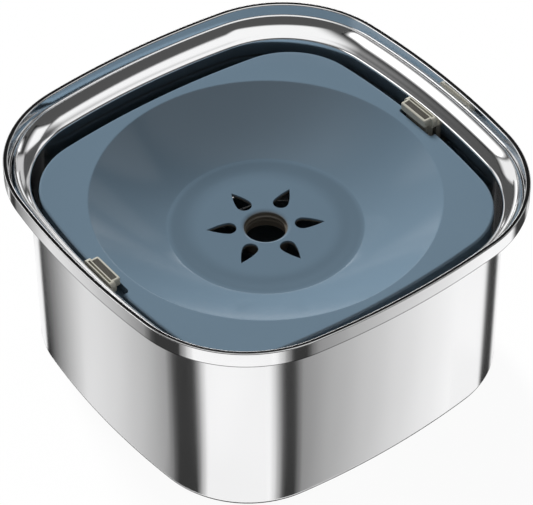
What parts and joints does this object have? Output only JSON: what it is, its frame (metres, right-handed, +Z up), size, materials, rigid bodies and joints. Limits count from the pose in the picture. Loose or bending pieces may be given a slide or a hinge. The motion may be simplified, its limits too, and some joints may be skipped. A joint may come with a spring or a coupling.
{
  "type": "no-spill pet bowl",
  "caption": "Square steel pet bowl with a stepped rim, holding a floating drinking tray with a round dish, flow holes and sliding clips, so that water doesn't splash out.",
  "frame": {"origin": "middle of the underside, on the floor that the feet stand on", "axes": "+Z up, +X towards the right clip, -Y towards the front"},
  "size_m": [0.24, 0.24, 0.126],
  "materials": {
    "steel": "polished stainless sheet",
    "foot_rubber": "matt non-slip rubber",
    "float_plastic": "glossy slate-blue moulding",
    "seal_rubber": "soft gasket rubber",
    "clip_plastic": "satin warm-grey moulding",
    "pad_rubber": "dark ribbed grip"
  },
  "bodies": {
    "bowl": {"bowl_shell": "steel", "foot_front_left": "foot_rubber", "foot_front_right": "foot_rubber", "foot_back_left": "foot_rubber", "foot_back_right": "foot_rubber"},
    "float": {"float_tray": "float_plastic", "float_pan": "float_plastic", "outer_seal": "seal_rubber", "inner_seal": "seal_rubber"},
    "left_slider": {"left_clip": "clip_plastic", "left_clip_pad": "pad_rubber"},
    "right_slider": {"right_clip": "clip_plastic", "right_clip_pad": "pad_rubber"}
  },
  "joints": [
    {"name": "float_rise", "type": "slide", "parent": "bowl", "child": "float", "axis": [0, 0, 1], "range_m": [-0.069, 0.06], "stiffness_N_per_m": 290, "springref_m": 0.00716},
    {"name": "left_clip_slide", "type": "slide", "parent": "float", "child": "left_slider", "axis": [0, 1, 0], "range_m": [-0.0052, 0]},
    {"name": "right_clip_slide", "type": "slide", "parent": "float", "child": "right_slider", "axis": [0, 1, 0], "range_m": [-0.0052, 0]}
  ]
}
